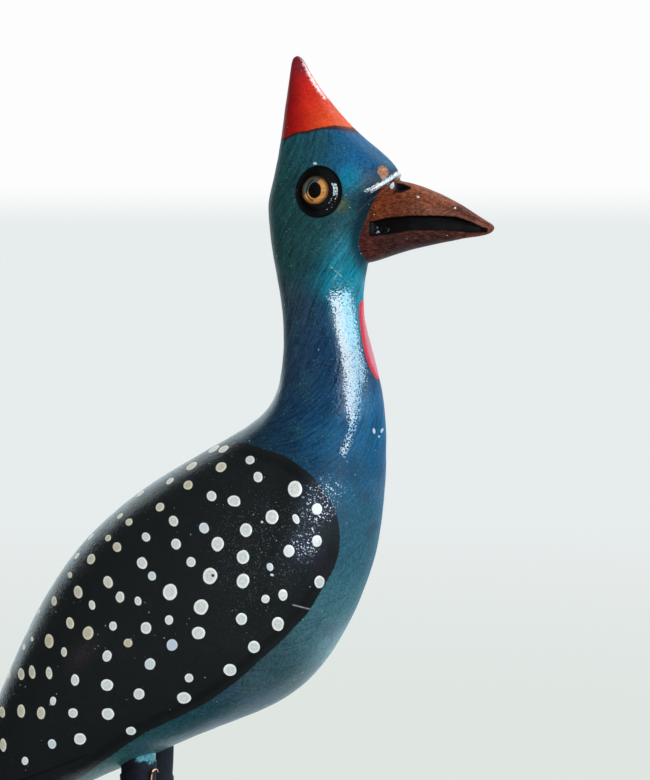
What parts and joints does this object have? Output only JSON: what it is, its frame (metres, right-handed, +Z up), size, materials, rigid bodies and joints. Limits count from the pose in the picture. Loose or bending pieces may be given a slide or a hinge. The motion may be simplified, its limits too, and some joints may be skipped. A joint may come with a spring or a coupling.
{
  "type": "guinea fowl figurine",
  "caption": "Standing carved wooden guinea fowl with a long neck, pointed crest, parted beak and dotted back, let onto slim wrapped legs with flat-soled toes.",
  "frame": {"origin": "on the ground, below the middle of the bird's bounding box", "axes": "+X the way the bird faces, +Y its left, +Z up"},
  "size_m": [0.1514, 0.0662, 0.2423],
  "materials": {
    "painted_wood": "painted and varnished to a high gloss",
    "leg_wrapping": "matte dark wrapping",
    "copper": "dull copper wire"
  },
  "bodies": {
    "root": {"carved_bird": "painted_wood", "left_leg": "leg_wrapping", "right_leg": "leg_wrapping", "right_leg_wire": "copper"}
  },
  "joints": []
}
